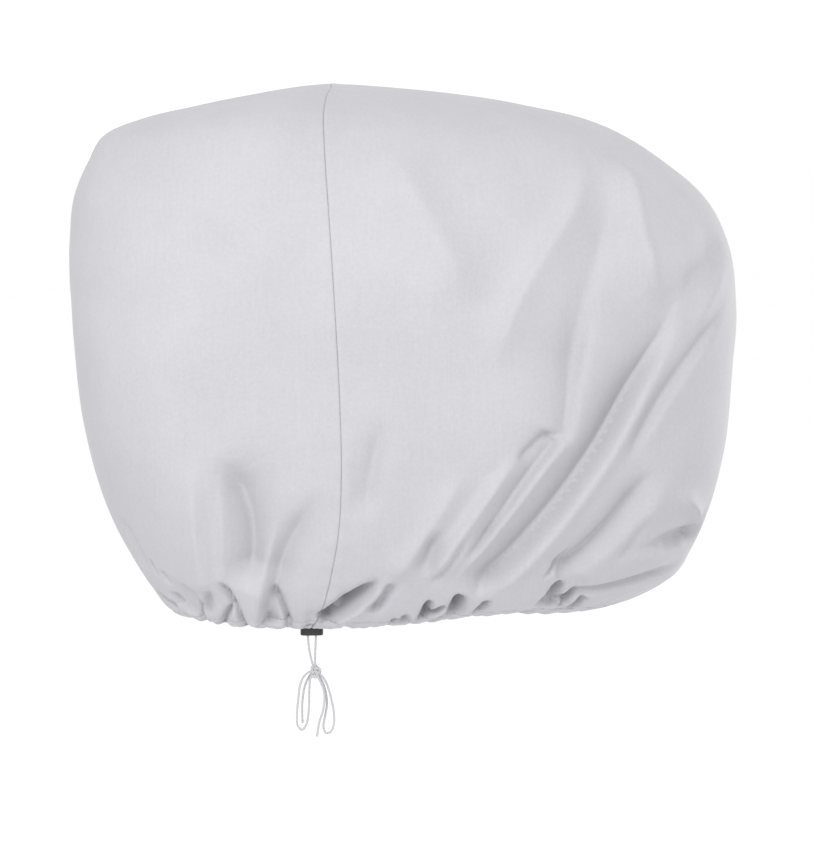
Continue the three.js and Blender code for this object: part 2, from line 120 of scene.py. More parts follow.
def linear(colour):
    """An sRGB hex colour as linear RGBA."""
    channels = [((colour >> shift) & 255) / 255 for shift in (16, 8, 0)]
    return tuple(c / 12.92 if c <= 0.04045 else ((c + 0.055) / 1.055) ** 2.4 for c in channels) + (1.0,)


def add_node(tree, kind, inputs=None, **settings):
    """Adds a node. Each of inputs, by name or number, is a value or a socket that it is linked to."""
    made = tree.nodes.new(kind)
    for name, value in settings.items():
        setattr(made, name, value)
    for key, value in (inputs or {}).items():
        if isinstance(value, bpy.types.NodeSocket):
            tree.links.new(value, made.inputs[key])
        else:
            made.inputs[key].default_value = value
    return made


def maths(tree, operation, *values):
    return add_node(tree, "ShaderNodeMath", dict(enumerate(values)), operation=operation).outputs[0]


def axes_of(tree, vector):
    return add_node(tree, "ShaderNodeSeparateXYZ", {0: vector}).outputs


def ranged(tree, value, from_min, from_max, to_min=0.0, to_max=1.0):
    """A value carried over from one range to another, and kept inside it."""
    return add_node(tree, "ShaderNodeMapRange",
                    {"Value": value, "From Min": from_min, "From Max": from_max, "To Min": to_min,
                     "To Max": to_max}).outputs[0]


def mottled(tree, place, scale, detail, roughness=0.5):
    return add_node(tree, "ShaderNodeTexNoise", {"Vector": place, "Scale": scale, "Detail": detail,
                                                 "Roughness": roughness}).outputs[0]


def blended(tree, share, first, second):
    """A colour between two, each a colour or a socket."""
    return add_node(tree, "ShaderNodeMix", {"Factor": share, 6: first, 7: second},
                    data_type="RGBA").outputs[2]


def relieved(tree, height, strength, distance, **others):
    """The normal of a surface that a height roughens."""
    return add_node(tree, "ShaderNodeBump", {"Height": height, "Strength": strength, "Distance": distance,
                                             **others}).outputs[0]


def new_material(name):
    material = bpy.data.materials.new(name)
    material.use_nodes = True
    tree = material.node_tree
    return material, tree, tree.nodes["Principled BSDF"]


def weave_group():
    """Plain weave over a flat piece of cloth: how light it is, from -1 to 1, and how high, at a place."""
    tree = bpy.data.node_groups.new("plain_weave", "ShaderNodeTree")
    for name, in_out in (("Across", "INPUT"), ("Down", "INPUT"), ("Slub", "OUTPUT"), ("Height", "OUTPUT")):
        tree.interface.new_socket(name, in_out=in_out, socket_type="NodeSocketFloat")
    place = add_node(tree, "NodeGroupInput").outputs
    streaks = []
    for along, across, strength in (("Down", "Across", UPRIGHT_STREAKS), ("Across", "Down", LEVEL_STREAKS)):
        long = maths(tree, "MULTIPLY", place[along], 1 / SLUB_LENGTH)
        wide = maths(tree, "MULTIPLY", place[across], 1 / SLUB_WIDTH)
        at = add_node(tree, "ShaderNodeCombineXYZ", {0: wide, 1: long}).outputs[0]
        streak = maths(tree, "SUBTRACT", mottled(tree, at, 1.0, 2.0, 0.6), 0.5)
        streaks.append(maths(tree, "MULTIPLY", streak, strength))
    waves = [maths(tree, "SINE", maths(tree, "MULTIPLY", place[side], math.pi / THREAD))
             for side in ("Across", "Down")]
    add_node(tree, "NodeGroupOutput", {"Slub": maths(tree, "ADD", *streaks),
                                       "Height": maths(tree, "MULTIPLY", *waves)})
    return tree


def cloth_material():
    """Light woven polyester with a coated back. It gives the eye a pale lavender grey, even from afar,
    with faint upright streaks of uneven yarn close by, and a soft sheen along its folds."""
    material, tree, shader = new_material("woven_polyester")
    group = weave_group()
    place = add_node(tree, "ShaderNodeTexCoord").outputs["Object"]
    axes = axes_of(tree, place)
    patterns = []
    for across, out in ((0, 1), (1, 0)):
        down = maths(tree, "SUBTRACT", maths(tree, "ABSOLUTE", axes[out]), axes[2])
        patterns.append(add_node(tree, "ShaderNodeGroup", {"Across": axes[across], "Down": down},
                                 node_tree=group).outputs)
    normal = add_node(tree, "ShaderNodeNewGeometry").outputs["Normal"]
    at_end = ranged(tree, maths(tree, "ABSOLUTE", axes_of(tree, normal)[0]), *END_TURN)
    slub, height = (
        add_node(tree, "ShaderNodeMix", {"Factor": at_end, 2: patterns[0][name], 3: patterns[1][name]},
                 data_type="FLOAT").outputs[0]
        for name in ("Slub", "Height"))

    # Uneven dye and light soiling, in patches a hand wide, and the thick and thin places of single
    # threads, a few millimetres long
    patches = ranged(tree, mottled(tree, place, 9.0, 3.0, 0.55), NOISE_LOW, NOISE_HIGH, -0.5, 0.5)
    flecks = ranged(tree, mottled(tree, place, 300.0, 2.0, 0.6), NOISE_LOW, NOISE_HIGH, -0.5, 0.5)
    woven = maths(tree, "ADD", maths(tree, "MULTIPLY", slub, 0.35), flecks)
    tone = ranged(tree, maths(tree, "ADD", woven, patches), -1.5, 1.5)
    colour = blended(tree, tone, *map(linear, CLOTH_SHADES))

    # The stitches that close the hem channel, a dent for each
    hem = axes_of(tree, add_node(tree, "ShaderNodeUVMap", uv_map="hem").outputs[0])
    phase = maths(tree, "FRACT", maths(tree, "MULTIPLY", hem[0], 1 / STITCH_PITCH))
    along = maths(tree, "ABSOLUTE", maths(tree, "SUBTRACT", phase, 0.5))
    aside = maths(tree, "ABSOLUTE", maths(tree, "SUBTRACT", hem[1], HEM_CHANNEL * MM))
    stitch = maths(tree, "MULTIPLY", ranged(tree, along, *STITCH_HALF_LENGTH, 1.0, 0.0),
                   ranged(tree, aside, *STITCH_HALF_WIDTH, 1.0, 0.0))

    weave = maths(tree, "ADD", maths(tree, "MULTIPLY", slub, 0.5), height)
    woven_normal = relieved(tree, weave, 0.25, THREAD_RELIEF)
    dents = maths(tree, "MULTIPLY", stitch, -1.0)
    tree.links.new(blended(tree, stitch, colour, linear(STITCH_SHADE)), shader.inputs["Base Color"])
    tree.links.new(ranged(tree, slub, -1.0, 1.0, 0.62, 0.74), shader.inputs["Roughness"])
    tree.links.new(relieved(tree, dents, 0.8, STITCH_DENT, Normal=woven_normal), shader.inputs["Normal"])
    shader.inputs["IOR"].default_value = 1.5
    shader.inputs["Specular IOR Level"].default_value = 0.3
    shader.inputs["Sheen Weight"].default_value = 0.06
    shader.inputs["Sheen Roughness"].default_value = 0.35
    return material


def cord_material():
    """Braided white polyester cord. It gives the eye a bright, slightly fuzzy white, with painted shade in
    the small gaps of its braid, where its colour is darker."""
    material, tree, shader = new_material("braided_polyester_cord")
    cord = axes_of(tree, add_node(tree, "ShaderNodeUVMap", uv_map="cord").outputs[0])
    run = maths(tree, "MULTIPLY", cord[0], 2 * math.pi / (BRAID_PITCH * MM))
    strands = []
    for sign in (1, -1):
        turned = maths(tree, "MULTIPLY", cord[1], sign * BRAID_STRANDS * 2 * math.pi)
        strands.append(maths(tree, "COSINE", maths(tree, "ADD", turned, run)))
    braid = maths(tree, "MAXIMUM", *strands)
    place = add_node(tree, "ShaderNodeTexCoord").outputs["Object"]
    fibres = maths(tree, "MULTIPLY", mottled(tree, place, 1 / FIBRE_SIZE, 2.0), 0.5)
    # Painted shade: the cord's colour is darker in the gaps between the strands of its braid
    colour = blended(tree, ranged(tree, braid, -0.4, 0.6), *map(linear, CORD_GAP_SHADE_AND_WHITE))
    tree.links.new(colour, shader.inputs["Base Color"])
    tree.links.new(relieved(tree, maths(tree, "ADD", braid, fibres), 0.6, BRAID_RELIEF),
                   shader.inputs["Normal"])
    shader.inputs["Roughness"].default_value = 0.8
    shader.inputs["Sheen Weight"].default_value = 0.3
    return material


def lock_material():
    """Moulded black nylon. It gives the eye a dark satin gloss with the fine grain of the mould."""
    material, tree, shader = new_material("moulded_nylon")
    place = add_node(tree, "ShaderNodeTexCoord").outputs["Object"]
    grain = mottled(tree, place, 1 / GRAIN_SIZE, 2.0)
    tree.links.new(blended(tree, grain, *map(linear, LOCK_SHADES)), shader.inputs["Base Color"])
    tree.links.new(ranged(tree, grain, NOISE_LOW, NOISE_HIGH, 0.36, 0.5), shader.inputs["Roughness"])
    tree.links.new(relieved(tree, grain, 0.25, GRAIN_RELIEF), shader.inputs["Normal"])
    shader.inputs["IOR"].default_value = 1.53
    return material


def paper_material():
    """White paper. It gives the eye a plain, even ground that hardly shows."""
    material, tree, shader = new_material("white_paper")
    place = add_node(tree, "ShaderNodeTexCoord").outputs["Object"]
    colour = blended(tree, mottled(tree, place, 3.0, 4.0), *map(linear, PAPER_SHADES))
    tree.links.new(colour, shader.inputs["Base Color"])
    shader.inputs["Roughness"].default_value = 0.9
    return material


# Meshes. Edges sharper than this many degrees stay sharp.
SHARP_EDGE = 80


def new_piece(name, points, faces, material):
    """A smooth mesh object from points in metres, its faces turned outwards."""
    mesh = bpy.data.meshes.new(name)
    mesh.from_pydata(points, [], faces)
    mesh.materials.append(material)
    piece = bpy.data.objects.new(name, mesh)
    bpy.context.scene.collection.objects.link(piece)
    corners = np.array(points)
    volume = 0.0
    for k in range(1, max(map(len, faces)) - 1):
        fan = [(face[0], face[k], face[k + 1]) for face in faces if len(face) > k + 1]
        a, b, c = (corners[[corner[i] for corner in fan]] for i in range(3))
        volume += float(np.einsum("ij,ij->", a, np.cross(b, c)))
    if volume < 0:
        mesh.flip_normals()
    for polygon in mesh.polygons:
        polygon.use_smooth = True
    return piece


# Cord: its rings stand this far apart, along a curve with so many steps between two points of its route,
# and every so many rings tell its course. The braid stands out by a share of the cord's radius. A cut end
# has one ring and a tip, given as shares of the radius: how wide the ring is, and how far the ring and
# the tip stand out.
CORD_DIAMETER = 2.4
CORD_SIDES = 16
CORD_STEP = 0.8
CURVE_STEPS = 40
BRAID_STRANDS = 4
BRAID_PITCH = 5.0
BRAID_RISE = 0.045
END_RING = 0.6
END_RING_OUT = 0.45
END_TIP_OUT = 0.6
# A direction that no cord sets out in
SIDELONG = (0.3, 1.0, 0.2)

# The knot is an overhand turn: the cord's radius in it, a third of its reach, how much of that it keeps
# from front to back, how much longer it is drawn downwards, and its steps
KNOT_CORD = 1.5
KNOT_SIZE = 1.65
KNOT_DEPTH = 0.95
KNOT_HEIGHT = 1.35
KNOT_STEPS = 150

# Routes, seen from the near side: each point is X, the stand-off towards the viewer from the middle of the
# lock, whose Y is given first, and Z. The upper ends come out of the hem, behind its edge.
LOCK_Y = -129.5
KNOT = (-20.7, 0, -628)
STRAND_LEFT = [
    (-28.6, 12, -568.5), (-28.6, 6, -567.5), (-28.6, 1, -571), (-28.6, 0, -578), (-28.6, 0, -591),
    (-26.8, 0, -607), (-23.2, 0, -622), KNOT,
]
STRAND_RIGHT = [
    (-20.2, 12, -568.5), (-20.2, 6, -567.5), (-20.2, 1, -571), (-20.2, 0, -578), (-20.2, 0, -593),
    (-21.1, 0.4, -611), KNOT,
]
LOOP_LEFT = [
    KNOT, (-26.2, 1.5, -628), (-32.7, 1.8, -632.5), (-37.1, 1.5, -642), (-39.5, 1, -660),
    (-40.9, 0.5, -677), (-39.7, 0, -688), (-35.2, -0.5, -692), (-30.6, -0.8, -686),
    (-27.9, -1.2, -669), (-27.3, -1.8, -647), (-25.7, -2, -634.5), KNOT,
]
TAIL_LEFT = [
    KNOT, (-26.2, -4.8, -633), (-31.7, -5.4, -644), (-34.5, -5, -659), (-35.1, -4.6, -673),
    (-34.7, -4.4, -685),
]
LOOP_RIGHT = [
    KNOT, (-15.2, 1.5, -631.5), (-9.2, 2, -640), (-4.5, 1.8, -655), (-1.1, 1.2, -672),
    (-0.9, 0.6, -685), (-4.1, 0.2, -694), (-9.1, -0.2, -696), (-12.3, -0.6, -689),
    (-10.3, -1.2, -677), (-8.3, -1.8, -663), (-11.1, -2.2, -646), (-15.7, -2, -635.5), KNOT,
]
TAIL_RIGHT = [
    KNOT, (-16.9, 4.8, -635.5), (-12.7, 5.4, -645), (-11.1, 5.4, -657), (-13.1, 5.2, -671),
    (-16.9, 5, -683), (-19.3, 4.8, -698),
]


def in_place(route):
    return np.array([(x, LOCK_Y - out, z) for x, out, z in route]) * MM


def smooth_route(route, step):
    """A centripetal spline through the route's points, as points about a step apart."""
    points = in_place(route)
    points = np.vstack([2 * points[0] - points[1], points, 2 * points[-1] - points[-2]])
    fine = []
    t = np.linspace(0, 1, CURVE_STEPS, endpoint=False)[:, None]
    for p0, p1, p2, p3 in zip(points, points[1:], points[2:], points[3:]):
        d0, d1, d2 = (math.sqrt(np.linalg.norm(b - a)) for a, b in ((p0, p1), (p1, p2), (p2, p3)))
        slope1 = ((p1 - p0) / d0 - (p2 - p0) / (d0 + d1) + (p2 - p1) / d1) * d1
        slope2 = ((p2 - p1) / d1 - (p3 - p1) / (d1 + d2) + (p3 - p2) / d2) * d1
        fine.append((2 * t**3 - 3 * t**2 + 1) * p1 + (t**3 - 2 * t**2 + t) * slope1
                    + (3 * t**2 - 2 * t**3) * p2 + (t**3 - t**2) * slope2)
    fine = np.vstack(fine + [points[-2][None]])
    run = np.concatenate([[0], np.cumsum(np.linalg.norm(np.diff(fine, axis=0), axis=1))])
    even = np.linspace(0, run[-1], max(2, round(run[-1] / step)) + 1)
    return np.stack([np.interp(even, run, fine[:, k]) for k in range(3)], 1), float(run[-1])


def tube(path, radius, sides, closed):
    """Rings of points of a braided tube, with the length run and the way ahead at each."""
    count = len(path)
    ahead = np.roll(path, -1, 0) - np.roll(path, 1, 0)
    if not closed:
        ahead[0], ahead[-1] = path[1] - path[0], path[-1] - path[-2]
    ahead /= np.linalg.norm(ahead, axis=1)[:, None]
    side = np.cross(ahead[0], SIDELONG)
    side /= np.linalg.norm(side)
    sidelong = []
    for forward in ahead:
        side = side - forward * side.dot(forward)
        side /= np.linalg.norm(side)
        sidelong.append(side)
    sidelong = np.array(sidelong)
    third = np.cross(ahead, sidelong)
    twist = 0.0
    if closed:
        twist = math.atan2(sidelong[0].dot(third[-1]), sidelong[0].dot(sidelong[-1]))
    run = np.concatenate([[0], np.cumsum(np.linalg.norm(np.diff(path, axis=0), axis=1))])
    turn = 2 * math.pi * np.arange(sides) / sides
    turns = turn[None] + (twist * np.arange(count) / count)[:, None]
    wave = 2 * math.pi * run / (BRAID_PITCH * MM)
    braid = np.maximum(np.cos(BRAID_STRANDS * turn[None] + wave[:, None]),
                       np.cos(BRAID_STRANDS * turn[None] - wave[:, None]))
    reach = radius * (1 + BRAID_RISE * braid)
    rings = path[:, None] + reach[..., None] * (
        np.cos(turns)[..., None] * sidelong[:, None] + np.sin(turns)[..., None] * third[:, None])
    return rings, run, ahead


def tube_piece(name, path, radius, sides, material, closed=False):
    """A braided tube along a path, its cut ends rounded. Its UV is the length along it and the share of a
    turn round it."""
    rings, run, ahead = tube(path, radius, sides, closed)
    count = len(rings)
    points = list(map(tuple, rings.reshape(-1, 3)))
    faces, uvs = [], []
    for r in range(count if closed else count - 1):
        for k in range(sides):
            n, m = (k + 1) % sides, (r + 1) % count
            faces.append((r * sides + k, r * sides + n, m * sides + n, m * sides + k))
            end = run[r + 1] if r + 1 < count else run[-1] + (run[1] - run[0])
            uvs += [(run[r], k / sides), (run[r], (k + 1) / sides), (end, (k + 1) / sides),
                    (end, k / sides)]
    if not closed:
        for r, sign in ((0, -1), (count - 1, 1)):
            inner = len(points)
            for k in range(sides):
                points.append(tuple(path[r] + END_RING * (rings[r, k] - path[r])
                                    + sign * END_RING_OUT * radius * ahead[r]))
            points.append(tuple(path[r] + sign * END_TIP_OUT * radius * ahead[r]))
            for k in range(sides):
                n = (k + 1) % sides
                outer = [r * sides + k, r * sides + n]
                quad = (outer[1], outer[0], inner + k, inner + n)
                cap = (inner + n, inner + k, inner + sides)
                faces.append(quad if sign < 0 else quad[::-1])
                faces.append(cap if sign < 0 else cap[::-1])
                uvs += [(run[r], k / sides)] * 7
    piece = new_piece(name, points, faces, material)
    layer = piece.data.uv_layers.new(name="cord")
    layer.data.foreach_set("uv", np.array(uvs, float).ravel())
    return piece


def add_knot(material):
    """The bow's knot: one overhand turn of the cord, pulled tight."""
    u = np.linspace(0, 4 * math.pi, KNOT_STEPS, endpoint=False)
    swing = 2 + np.cos(1.5 * u)
    turn = KNOT_SIZE * np.stack([swing * np.cos(u), swing * np.sin(u), np.sin(1.5 * u)], 1)
    path = np.stack([turn[:, 0], -KNOT_DEPTH * turn[:, 2], KNOT_HEIGHT * turn[:, 1]], 1) * MM
    centre = in_place([KNOT])[0]
    knot = tube_piece("bow_knot", path + centre, KNOT_CORD * MM, CORD_SIDES, material, closed=True)
    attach(knot, "root")
    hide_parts("drawcord")
    return knot


def add_cords(material):
    knot = add_knot(material)
    for name, route, far_end, others in (
            ("drawcord_strand_left", STRAND_LEFT, "knot", [knot]),
            ("drawcord_strand_right", STRAND_RIGHT, "knot", []),
            ("bow_loop_left", LOOP_LEFT, "knot", []),
            ("bow_loop_right", LOOP_RIGHT, "knot", []),
            ("bow_tail_left", TAIL_LEFT, "bare", []),
            ("bow_tail_right", TAIL_RIGHT, "bare", [])):
        path, length = smooth_route(route, CORD_STEP * MM)
        piece = tube_piece(name, path, CORD_DIAMETER / 2 * MM, CORD_SIDES, material)
        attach(piece, "root")
        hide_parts("drawcord")


# Taut cover. Sections, one row each from the crown down: how far the outside has dropped below the
# crown, where the seam stands along X, how far the cover reaches from there to the rear, the front and
# each side, how square the plan is behind and before the seam (2 is an ellipse), and how much higher the
# two ends are than the sides.
SECTION_COLUMNS = ["drop", "seam", "rear", "front", "half", "square_rear", "square_front", "lift"]
SECTIONS = [
    (0, 0, 0, 0, 0, 2.0, 2.0, 0),
    (5, 0, 50, 82, 58, 2.0, 2.0, 0),
    (12, -5, 84, 156, 98, 2.1, 2.1, 0),
    (25, -9, 142, 232, 142, 2.2, 2.2, 0),
    (38, -11, 195, 290, 170, 2.4, 2.3, 0),
    (55, -11, 235, 331, 192, 2.6, 2.4, 0),
    (85, -10, 255, 376, 212, 2.8, 2.5, 0),
    (120, -8, 271, 416, 224, 3.0, 2.6, 0),
    (170, -5, 279, 440, 233, 3.0, 2.8, 0),
    (240, -1, 282, 446, 239, 3.0, 3.0, 0),
    (320, 3, 281, 438, 241, 3.0, 3.0, 0),
    (400, 5, 270, 428, 236, 3.0, 3.0, 0),
    (460, 3, 251, 418, 224, 2.8, 2.8, 0),
    (510, -4, 222, 407, 204, 2.6, 2.6, 0),
    (545, -11, 196, 393, 182, 2.5, 2.4, 0),
    (570, -18, 171, 354, 161, 2.4, 2.2, 1),
    (581, -25, 146, 328, 142, 2.3, 2.0, 3),
]
# Where the cord draws the hem up: about which angle, how far round to each side, by how much at the edge,
# and how far up the cloth that is felt
HEM_RISE_ANGLE = 306
HEM_RISE_REACH = 16
HEM_RISE = 8
HEM_RISE_UP = 110
# The height of the outside at the crown, the thickness of the cloth, and how far each panel is moved away
# from the middle of the seam
CROWN = 2.0
CLOTH = 0.9
SEAM_SHIFT = 0.03

# Folds, one row each. A fold runs over the cloth from one place to another, each given as an angle round
# the cover in degrees (0 front, 90 far side, 180 rear, 270 near side) and a distance down the cloth from
# the crown. bow bends its line by so many degrees halfway. right and left are how far it dies away to
# each side, seen from outside on the way from the first place to the second. round is how rounded its
# line is, from about 1 for a crease, rise is its height above the taut cloth, less than 0 in a trough,
# and fade_from and fade_to say over what share of its length each end dies out.
FOLD_COLUMNS = ["from_angle", "from_down", "to_angle", "to_down", "bow", "right", "left", "round", "rise",
                "fade_from", "fade_to"]
NEAR_FRONT_FOLDS = [
    (292.5, 768, 317.2, 415, -0.4, 7, 32, 2, -24, 0.08, 0.4),
    (288.3, 748, 300.1, 575, -1.1, 9, 4, 1, 4, 0.3, 0.15),
    (293.9, 762, 317, 445, -0.5, 16, 5, 3.5, 11, 0.1, 0.4),
    (289.1, 712, 299, 576, -0.7, 5, 24, 2, -12, 0.6, 0.06),
    (284, 735, 294.8, 585, -1.2, 24, 7, 2, 13, 0.2, 0.35),
    (278.8, 742, 288, 596, -0.7, 21, 12, 2, 9, 0.2, 0.4),
    (283.2, 735, 284.3, 668, 0, 6, 10, 4, -9, 0.4, 0.4),
    (299.6, 588, 302.8, 430, -0.6, 7, 26, 2, -10, 0.12, 0.4),
    (300.2, 545, 318, 270, -5.6, 10, 24, 4, -6, 0.2, 0.35),
    (290.5, 515, 315, 272, -6, 30, 16, 2, 12, 0.25, 0.3),
    (288, 445, 279, 250, -0.3, 28, 40, 6, 12, 0.25, 0.35),
    (314.2, 446, 322, 268, -6.1, 46, 30, 3, 23, 0.3, 0.3),
    (316.7, 440, 337, 378, -4.3, 14, 42, 3, -12, 0.5, 0.2),
    (319, 470, 336, 390, -2.5, 14, 12, 3, 6, 0.3, 0.4),
    (304, 740, 313.6, 608, 1.4, 13, 22, 3, -20, 0.08, 0.35),
    (307, 738, 318, 605, 2.2, 12, 9, 4, 3, 0.15, 0.45),
    (308.4, 612, 331.1, 432, -4, 6, 14, 2, -7, 0.25, 0.3),
    (310.4, 602, 332.5, 434, -3.9, 16, 6, 2, 5, 0.3, 0.4),
    (314, 728, 316, 664, 0, 11, 11, 4, -6, 0.3, 0.4),
    (313, 711, 342, 704, 0, 7, 28, 2, -19, 0.5, 0.22),
    (319, 640, 338, 697, 0, 8, 13, 1, 9, 0.3, 0.2),
    (312.8, 790, 339, 736, -6.8, 5, 11, 1.5, -11, 0.06, 0.3),
    (270.3, 804, 278, 731, 0.1, 7, 8, 2, -34, 0.1, 0.55),
    (272.6, 804, 278.6, 731, 0.7, 9, 5, 1.5, 9, 0.1, 0.3),
    (278.4, 784, 279.4, 736, 0.2, 4, 10, 2, -11, 0.1, 0.3),
    (273.2, 668, 276, 545, -0.4, 12, 15, 3, -10, 0.3, 0.4),
]
NEAR_REAR_FOLDS = [
    (234.4, 772, 238.8, 585, 0.6, 15, 34, 1.5, 14, 0.2, 0.4),
    (240, 752, 244.4, 600, 0.6, 14, 6, 1.5, 5, 0.2, 0.4),
    (246.2, 752, 243.7, 588, 4, 42, 21, 2.5, -28, 0.2, 0.3),
    (252.6, 812, 266.2, 625, -2.7, 22, 16, 2, -15, 0.05, 0.3),
    (248, 812, 256.5, 650, -0.7, 11, 20, 1.5, 10, 0.05, 0.4),
    (242.9, 826, 238.8, 732, 1.6, 4, 3, 1, -11, 0.06, 0.2),
    (230.5, 826, 241.4, 768, 0.8, 4, 3, 1, -10, 0.1, 0.2),
    (229.8, 790, 237, 734, 0.3, 6, 5, 2, -9, 0.1, 0.4),
    (221.5, 826, 228.2, 765, 2, 4, 3, 1, -8, 0.06, 0.3),
    (220.5, 802, 228.8, 742, 0, 10, 12, 8, -9, 0.2, 0.3),
    (261.2, 826, 252.6, 748, 0.7, 4, 3, 1, -9, 0.06, 0.2),
    (268.8, 822, 265.8, 775, 0, 5, 7, 3, -6, 0.06, 0.4),
    (211.5, 668, 211, 745, 0, 10, 10, 5, -6, 0.3, 0.3),
    (215.8, 792, 206.5, 770, 0, 4, 4, 1.5, -8, 0.1, 0.2),
    (218.4, 784, 219, 762, 0, 4, 4, 1.5, -8, 0.1, 0.3),
]
FRONT_END_FOLDS = [
    (352, 826, 356, 640, 0, 14, 12, 8, -9, 0, 0.4),
    (366, 826, 362, 560, 2, 16, 14, 8, -10, 0, 0.4),
    (373, 826, 371, 600, 0, 13, 15, 3, 8, 0, 0.4),
    (380, 826, 385, 660, 0, 12, 14, 6, -8, 0, 0.4),
    (344, 600, 372, 560, 4, 20, 16, 8, -6, 0.4, 0.4),
    (358, 330, 372, 470, 3, 30, 26, 6, 7, 0.4, 0.4),
]
FAR_FRONT_FOLDS = [
    (396, 826, 388, 590, 0, 14, 16, 8, -11, 0, 0.35),
    (402, 826, 396, 560, 0, 12, 14, 3, 7, 0, 0.35),
    (410, 826, 401, 640, 0, 13, 12, 6, -9, 0, 0.4),
    (419, 826, 398, 470, -2, 16, 14, 8, -9, 0.1, 0.35),
    (430, 826, 417, 560, 0, 12, 14, 3, 7, 0, 0.4),
    (437, 826, 433, 650, 0, 13, 14, 6, -9, 0, 0.4),
    (445, 826, 446, 610, 0, 14, 15, 3, 6, 0, 0.4),
    (404, 230, 424, 430, 2, 28, 24, 6, 7, 0.3, 0.4),
]
FAR_REAR_FOLDS = [
    (97, 826, 100, 620, 0, 14, 13, 6, -8, 0, 0.4),
    (107, 826, 112, 560, 0, 15, 15, 3, 6, 0, 0.4),
    (117, 826, 115, 650, 0, 13, 12, 6, -9, 0, 0.4),
    (129, 826, 137, 640, 0, 12, 13, 3, 6, 0, 0.4),
    (138, 826, 133, 590, 2, 14, 12, 8, -9, 0, 0.35),
]
REAR_END_FOLDS = [
    (152, 826, 157, 660, 0, 13, 12, 6, -8, 0, 0.4),
    (163, 826, 161, 600, 0, 14, 15, 3, 6, 0, 0.4),
    (173, 826, 176, 640, 0, 13, 12, 6, -9, 0, 0.4),
    (186, 826, 183, 690, 0, 12, 13, 6, -7, 0, 0.4),
    (197, 826, 195, 620, 0, 14, 14, 5, -5, 0, 0.4),
]

# Creases: the small sharp ones, with the same columns
CREASES = [
    (293.6, 603, 297.6, 571, -0.3, 11, 5, 1.5, -6, 0.3, 0.05),
    (297.3, 573, 299, 574, 0, 3, 4, 1.5, -4, 0.2, 0.2),
    (298.9, 572, 299, 592, 0, 3, 3, 1.5, -3, 0.1, 0.5),
    (285, 750, 288.6, 672, 0, 4, 4, 1, -5, 0.3, 0.4),
    (289, 715, 292.5, 655, 0, 4, 7, 1, -5, 0.3, 0.4),
    (302, 742, 304.8, 704, 0, 3, 4, 1, -8, 0.3, 0.3),
    (309.8, 527, 316, 450, 0, 7, 7, 2, -5, 0.3, 0.4),
    (323.5, 716, 333, 713, 0, 3, 4, 1, -6, 0.3, 0.3),
    (251.5, 812, 252, 764, 0, 3, 3, 1, -5, 0.06, 0.3),
]

# Pits: the dark pockets between puckers just above the hem, one row each: where its middle is, how far
# it reaches round and down the cover to each side, how far its line leans, and how deep it is. The higher
# the power, the flatter its floor and the steeper its walls; past so many reaches there is nothing left.
PIT_POWER = 3
PIT_END = 3
PIT_COLUMNS = ["angle", "down", "reach", "length", "lean", "depth"]
NEAR_PITS = [
    (283.6, 808, 3, 6, 2, 7), (285.2, 804, 3.5, 8, 3, 10), (287.2, 787, 4, 12, 4, 27),
    (289, 793, 4, 12, -3, 26), (292, 783, 7, 13, 6, 34), (297, 789, 4, 10, 3, 28),
    (308, 777, 8, 15, 6, 34), (311.4, 789, 3, 8, 2, 16), (313.4, 785, 4, 10, 4, 28),
    (318, 793, 5.5, 9, 4, 26), (308.5, 758, 26, 16, 0, 7), (216, 730, 5, 9, 0, 5),
    (220, 741, 5, 8, 0, 5),
]

# Gathers along the hem: runs from one angle to the next, with so many puckers in each. The seams stiffen
# the hem, so the valleys on them are shallower. A pucker is a sine to this power, fuller than a plain one.
REAR_GATHERS = [(90, 180, 6), (180, 226, 4), (226, 270, 5)]
FRONT_GATHERS = [(270, 284, 2), (284, 299, 4), (299, 313, 1), (313, 331, 3), (331, 360, 3), (360, 450, 7)]
GATHER_DEPTH = 2.6
GATHER_LENGTH = 48
GATHER_FULLNESS = 0.6
SEAM_GATHER_DEPTH = 1.5

# Unevenness of the gathers: by what share a size wavers, and by how many radians from one to the next
WIDTH_WAVER = (0.3, 2.1)
DEPTH_WAVER = (0.35, 1.9)
LENGTH_WAVER = (0.3, 2.7)

# Hem channel: its height up from the edge, how thick it is with the cord in it, over what height it
# thickens, how round its edge is and in how many steps. It stands out a little, beside a dip at its
# stitches. Near the hem, folds stand out nearly level: how far up that is felt, and how nearly.
HEM_CHANNEL = 20
HEM_THICKNESS = 4.0
HEM_THICKENING = 4
HEM_ROUND = 2.0
LIPS = 4
CHANNEL_RISE = 0.5
CHANNEL_EDGE = 3
STITCH_DIP = 0.4
STITCH_DIP_REACH = 1.6
LEVEL_REACH = 70
LEVEL_SHARE = 0.85

# Small puckers of the hem, and longer slanting ones that reach further up. Each has a pitch round the hem
# that sways, by so many radians over so many millimetres, and the first swell and die away by turns.
PUCKER_PITCH = 11.0
PUCKER_DEPTH = 0.9
PUCKER_LENGTH = 34
PUCKER_SWAYS = [(2.2, 31), (1.4, 12.3)]
PUCKER_SWELL = (0.75, 0.5, 23.7)
SLANT_PITCH = 2.3 * PUCKER_PITCH
SLANT_DEPTH = 0.7
SLANT_LENGTH = 2.4 * PUCKER_LENGTH
SLANT_SWAYS = [(1.7, 43)]
SLANT_SHARE = 0.5

# Slack of the cloth, as swells: how high, how large, and at what offset their noise is taken. The crown is
# taut: the slack starts so far down, and is full so much further down.
SLACK = [(1.1, 85, (0, 0, 0)), (0.35, 31, (7, 3, 1))]
SLACK_FROM = 20
SLACK_OVER = 120

